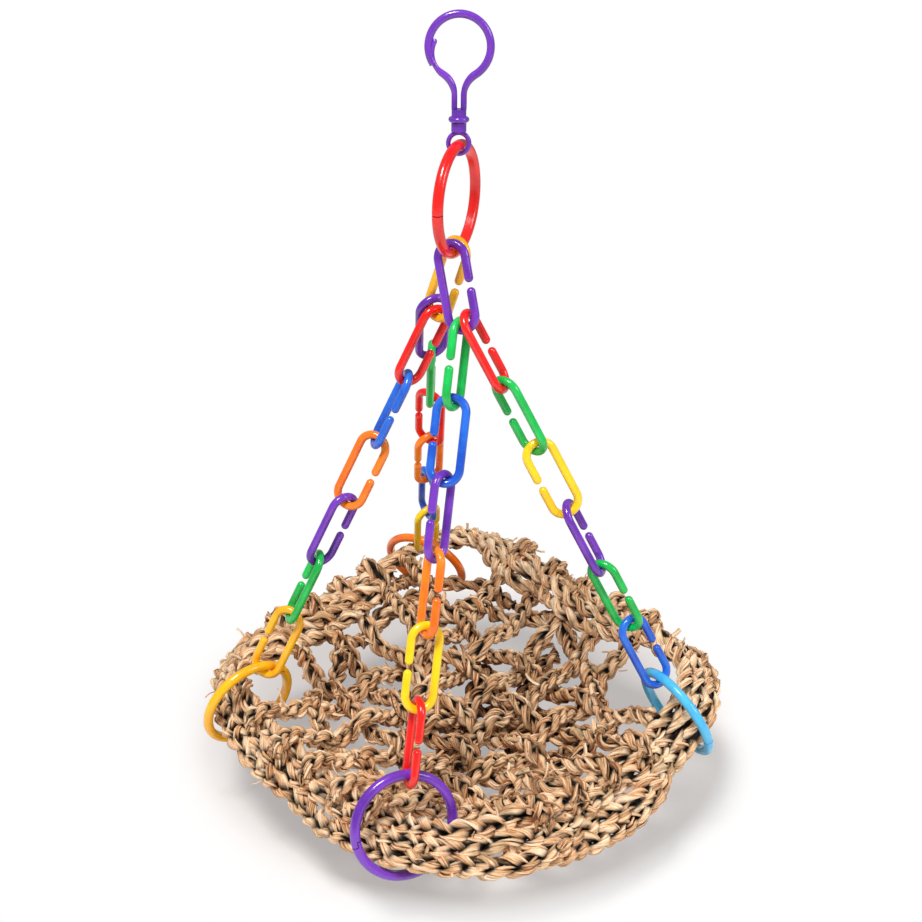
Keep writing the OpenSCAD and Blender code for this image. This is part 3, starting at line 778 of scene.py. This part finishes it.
# %% The seagrass material
def seagrass(name, lightness=-0.32):
    """Dried leaf: streaked along its fibres, rusty in patches, painted shade deep in the plait; a lower
    lightness paints it darker as shade.
    """
    material = bpy.data.materials.new(name)
    add = shader_tree(material)
    tone = add("ShaderNodeAttribute", attribute_name="tone").outputs["Fac"]
    along = add("ShaderNodeAttribute", attribute_name="along").outputs["Fac"]
    round_leaf = add("ShaderNodeAttribute", attribute_name="round").outputs["Fac"]
    depth = add("ShaderNodeAttribute", attribute_name="depth").outputs["Fac"]
    stretched = add("ShaderNodeCombineXYZ", {"X": round_leaf, "Y": along, "Z": tone})
    streak_space = add("ShaderNodeVectorMath", {0: stretched.outputs[0], 1: (11.0, 110.0, 40.0)},
                       operation="MULTIPLY")
    streaks = add("ShaderNodeTexNoise", {"Vector": streak_space.outputs[0], "Scale": 1.0, "Detail": 4.0,
                                         "Roughness": 0.65})
    place = add("ShaderNodeTexCoord").outputs["Object"]
    patches = add("ShaderNodeTexNoise", {"Vector": place, "Scale": 45.0, "Detail": 3.0})
    # one number for the leaf's shade: streaks, the leaf's own tone and larger patches, plus the lightness,
    # which is lower for copies with painted shade
    shade = add("ShaderNodeMath", {0: streaks.outputs["Fac"], 1: 1.35, 2: lightness},
                operation="MULTIPLY_ADD")
    shade = add("ShaderNodeMath", {0: tone, 1: 0.26, 2: shade.outputs[0]}, operation="MULTIPLY_ADD")
    shade = add("ShaderNodeMath", {0: patches.outputs["Fac"], 1: 0.3, 2: shade.outputs[0]},
                operation="MULTIPLY_ADD")
    leaf = add("ShaderNodeValToRGB", {"Fac": shade.outputs[0]})
    ramp = leaf.color_ramp
    ramp.elements[0].position, ramp.elements[0].color = 0.28, from_screen(70, 38, 18)
    ramp.elements[1].position, ramp.elements[1].color = 0.82, from_screen(255, 232, 200)
    for position, colour in ((0.38, from_screen(136, 84, 48)), (0.48, from_screen(200, 148, 103)),
                             (0.62, from_screen(242, 198, 152))):
        ramp.elements.new(position).color = colour
    rusty = add("ShaderNodeTexNoise", {"Vector": place, "Scale": 90.0, "Detail": 2.0})
    rust = add("ShaderNodeMapRange", {"Value": rusty.outputs["Fac"], "From Min": 0.57, "From Max": 0.75,
                                      "To Max": 0.6})
    dull = add("ShaderNodeMapRange", {"Value": rusty.outputs["Fac"], "From Min": 0.42, "From Max": 0.3,
                                      "To Max": 0.5})
    colour_layers = add("ShaderNodeMix", {"Factor": rust.outputs["Result"], 6: leaf.outputs["Color"],
                                 7: from_screen(188, 112, 60)}, data_type="RGBA")
    colour_layers = add("ShaderNodeMix", {"Factor": dull.outputs["Result"], 6: colour_layers.outputs[2],
                                 7: from_screen(160, 134, 94)}, data_type="RGBA")
    # painted shade: the colour goes near black where a point lies deep in the rope
    deep = add("ShaderNodeMapRange", {"Value": depth, "From Min": 0.4, "From Max": 0.84},
               interpolation_type="SMOOTHSTEP")
    with_painted_crevice_shade = add("ShaderNodeMix", {"Factor": deep.outputs["Result"], 6: from_screen(18, 9, 3),
                                    7: colour_layers.outputs[2]}, data_type="RGBA")
    bump = add("ShaderNodeBump", {"Height": streaks.outputs["Fac"], "Strength": 1.0, "Distance": 0.0005})
    rough = add("ShaderNodeMapRange", {"Value": streaks.outputs["Fac"], "To Min": 0.5, "To Max": 0.8})
    skin = add("ShaderNodeBsdfPrincipled", {
        "Base Color": with_painted_crevice_shade.outputs[2], "Roughness": rough.outputs["Result"],
        "Normal": bump.outputs["Normal"], "IOR": 1.4, "Specular IOR Level": 0.35})
    add("ShaderNodeOutputMaterial", {"Surface": skin.outputs[0]})
    return material


straw = seagrass("seagrass")
# darker copies of the leaf for the lattice and the lower layer: painted shade
lattice_straw_painted_shade = seagrass("seagrass_lattice_painted_shade", -0.41)
lower_straw_painted_shade = seagrass("seagrass_below_painted_shade", -0.5)
print("leaf materials", straw.name, lattice_straw_painted_shade.name, lower_straw_painted_shade.name)

# %% [markdown]
# ## Laying the rim and the lattice
# The same tree makes every rope, and only its sizes change. The rim has three
# closed runs and shorter ones along its sides, whose ends are tucked in. The
# number of pitches is a whole one for each rope, so a closed rope meets itself.

# %% The rim's ropes
def round_the_mat(name, lines, sizes, pitch, twist, stands_for, closed=False):
    """Runs the plait's tree and ties what it makes to the mat."""
    length = sum(sum(math.dist(a, b) for a, b in zip(line, line[1:])) for line in lines) / len(lines)
    sizes = dict(sizes, Pitches=round(length / pitch), Twists=round(length / twist))
    piece = run_tree(name, lines, plait, sizes, closed)
    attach(piece, "mat")
    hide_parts(stands_for)
    return piece


rim_sizes = {"Strands": 3, "Leaves": 4, "Half width": 0.0031, "Half depth": 0.002, "Leaf spread": 0.00115,
             "Leaf width": 0.0038, "Leaf depth": 0.0015, "Step": 0.0014, "Face angle": band_tilt,
             "Looseness": 0.0018, "Straw": straw}
rim_ropes = {"inner": -1, "middle": 0, "outer": 1}
rim_sway, rim_pitch, rim_twist = 0.0016, 0.031, 0.027
side_sway, side_pitch, side_twist = 0.002, 0.03, 0.026
for name, run in rim_ropes.items():
    round_the_mat(f"rim_plait_{name}", [rim_path(run, rim_sway)], dict(rim_sizes, Seed=run + 5),
                  rim_pitch, rim_twist, f"rim_rope_{name}", closed=True)
side_ropes = {"inner_left": (-1.9, 70, 135, 0.0045), "inner_left_low": (-2.1, 76, 130, 0.0125),
              "inner_right": (-1.9, -36, 50, 0.0045), "inner_right_low": (-2.1, -30, 42, 0.0125),
              "outer_front": (1.6, 236, 293, 0.0015)}
for name, (run, low, high, drop) in side_ropes.items():
    round_the_mat(f"rim_plait_{name}", [rim_side_path(run, low, high, side_sway, drop)],
                  dict(rim_sizes, Seed=round(1000 * drop) + low + 300),
                  side_pitch, side_twist, "rim_rope_" + name.split("_")[0])

# %% The lattice's ropes
lattice_sizes = dict(rim_sizes, **{"Half width": 0.0028, "Half depth": 0.0018, "Leaf spread": 0.00105,
                                   "Leaf width": 0.0034, "Leaf depth": 0.0014, "Face angle": 0.0,
                                   "Straw": lattice_straw_painted_shade})
under_ropes = {"warp": [(1.6, -0.6, 0.3), (2.6, -0.64, 0.5), (3.5, -0.6, 0.35)],
               "weft": [(0.5, -0.3, 0.64), (1.5, -0.5, 0.62), (2.4, -0.35, 0.6)]}
lattice_pitch, lattice_twist = 0.025, 0.022
short_pitch, short_twist = 0.024, 0.02
for name, sign in (("warp", 1), ("weft", -1)):
    round_the_mat(f"lattice_plait_{name}", [lattice_rope(line, sign) for line in range(LATTICE_COUNT)],
                  dict(lattice_sizes, Seed=11 + sign), lattice_pitch, lattice_twist, f"lattice_{name}")
    round_the_mat(f"lattice_under_{name}",
                  [under_rope(line, sign, low, high) for line, low, high in under_ropes[name]],
                  dict(lattice_sizes, Seed=31 + sign, Straw=lower_straw_painted_shade),
                  short_pitch, short_twist, f"lattice_{name}")
corner_ropes = [(0.76, 24, 86), (0.88, 61, 90), (0.7, 205, 248)]
round_the_mat("lattice_corner", [corner_rope(*sizes) for sizes in corner_ropes],
              dict(lattice_sizes, Seed=55), short_pitch, short_twist, "lattice_weft")
round_the_mat("lattice_round", [round_rope()], dict(lattice_sizes, Seed=77),
              short_pitch, short_twist, "lattice_warp", closed=True)

# %% [markdown]
# ## Loose ends
# A plait of dried leaves is never tidy: the ends of leaves stick out all over
# it. They could be modelled one by one, but they only need to be scattered, so
# a second tree puts a short bent leaf at uneven steps along every rope, turns
# each one its own way and leaves some out.

# %% The loose ends' tree
def loose_tree():
    """Short bent leaves that stick out of every line that comes in."""
    t = Tree("loose_leaves")
    step, radius, length = t.size("Step"), t.size("Rope radius"), t.size("Leaf length")
    seed = t.size("Seed", "Int")
    straw = t.size("Straw", "Material")
    rope = t.start.outputs["Geometry"]
    points = t.add("GeometryNodeCurveToPoints", {"Curve": rope, "Length": step}, mode="LENGTH")
    chance = t.add("FunctionNodeRandomValue", {"Seed": seed}, data_type="FLOAT").outputs[1]
    some = t.math("GREATER_THAN", chance, 0.35)

    knee = t.add("ShaderNodeCombineXYZ", {"Z": t.times(length, 0.6)})
    tip = t.add("ShaderNodeCombineXYZ", {"X": t.times(length, 0.45), "Z": length})
    bend = t.add("GeometryNodeCurveQuadraticBezier",
                 {"Resolution": 6, "Start": (0, 0, 0), "Middle": knee, "End": tip})
    factor = t.add("GeometryNodeSplineParameter").outputs["Factor"]
    taper = t.math("MULTIPLY_ADD", t.math("POWER", factor, 2.0), -0.85, 1.0)
    bend = t.add("GeometryNodeSetCurveRadius", {"Curve": bend, "Radius": taper})
    bend = t.keep(bend, "along", t.times(factor, length))
    section = t.add("GeometryNodeCurvePrimitiveCircle", {"Resolution": 6, "Radius": 0.5}, mode="RADIUS")
    section = t.add("GeometryNodeTransform", {"Geometry": section, "Scale": (0.0024, 0.0007, 1)})
    section = t.keep(section, "round", factor)
    leaf = t.add("GeometryNodeCurveToMesh", {"Curve": bend, "Profile Curve": section, "Fill Caps": True})

    turns = {"Min": (-0.7, -0.7, 0), "Max": (0.7, 0.7, 2 * math.pi), "Seed": seed}
    spin = t.add("FunctionNodeRandomValue", turns, data_type="FLOAT_VECTOR").outputs[0]
    ways = {"Min": (-1, -1, -0.4), "Max": (1, 1, 1), "Seed": t.sum(seed, 3)}
    outward = t.add("FunctionNodeRandomValue", ways, data_type="FLOAT_VECTOR").outputs[0]
    outward = t.vector("NORMALIZE", outward)
    facing = t.add("FunctionNodeAlignRotationToVector", {"Vector": outward}, axis="Z")
    facing = t.add("FunctionNodeRotateRotation", {"Rotation": facing, "Rotate By": spin},
                   rotation_space="LOCAL")
    moved = t.add("GeometryNodeSetPosition",
                  {"Geometry": points.outputs["Points"], "Offset": t.scaled(outward, radius)})
    size = t.add("FunctionNodeRandomValue", {2: 0.5, 3: 1.25, "Seed": t.sum(seed, 5)},
                 data_type="FLOAT").outputs[1]
    scattered = t.add("GeometryNodeInstanceOnPoints", {"Points": moved, "Selection": some, "Instance": leaf,
                                                       "Rotation": facing, "Scale": size})
    toned = t.keep(scattered, "tone", t.add("FunctionNodeRandomValue", {"Seed": t.sum(seed, 7)},
                                            data_type="FLOAT").outputs[1], domain="INSTANCE")
    real = t.add("GeometryNodeRealizeInstances", {0: toned})
    real = t.keep(real, "depth", 0.95)
    return t.finish(real, straw)


loose = loose_tree()
print(loose.name, "nodes", len(loose.nodes))

# %% [markdown]
# The rim's loose ends keep away from the four split rings, so that no leaf goes
# through the plastic. The lattice's ends follow its ropes and those of the lower
# layer that run the same way as the warp.

# %% Scatter the loose ends
between_rings = [(67, 140), (153, 207), (220, 294), (307, 414)]
rim_lines = []
for run in rim_ropes.values():
    whole = rim_path(run, rim_sway)
    for low, high in between_rings:
        rim_lines.append([whole[round(k * RIM_POINTS / 360) % RIM_POINTS] for k in range(low, high, 3)])
rim_ends = {"Step": 0.009, "Rope radius": 0.0026, "Leaf length": 0.0062, "Seed": 3, "Straw": straw}
loose_rim = run_tree("rim_loose_leaves", rim_lines, loose, rim_ends)
lattice_lines = [lattice_rope(line, sign) for line in range(LATTICE_COUNT) for sign in (1, -1)]
lattice_lines += [under_rope(*rope[:1], 1, *rope[1:]) for rope in under_ropes["warp"]]
lattice_ends = {"Step": 0.006, "Rope radius": 0.0024, "Leaf length": 0.0075, "Seed": 8, "Straw": straw}
loose_lattice = run_tree("lattice_loose_leaves", lattice_lines, loose, lattice_ends)
for piece, node in ((loose_rim, "rim_rope_middle"), (loose_lattice, "lattice_weft")):
    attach(piece, "mat")
    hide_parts(node)

# %% [markdown]
# Fabric may stand a little proud of its solid, but the dressed swing keeps the
# size of the imported one.
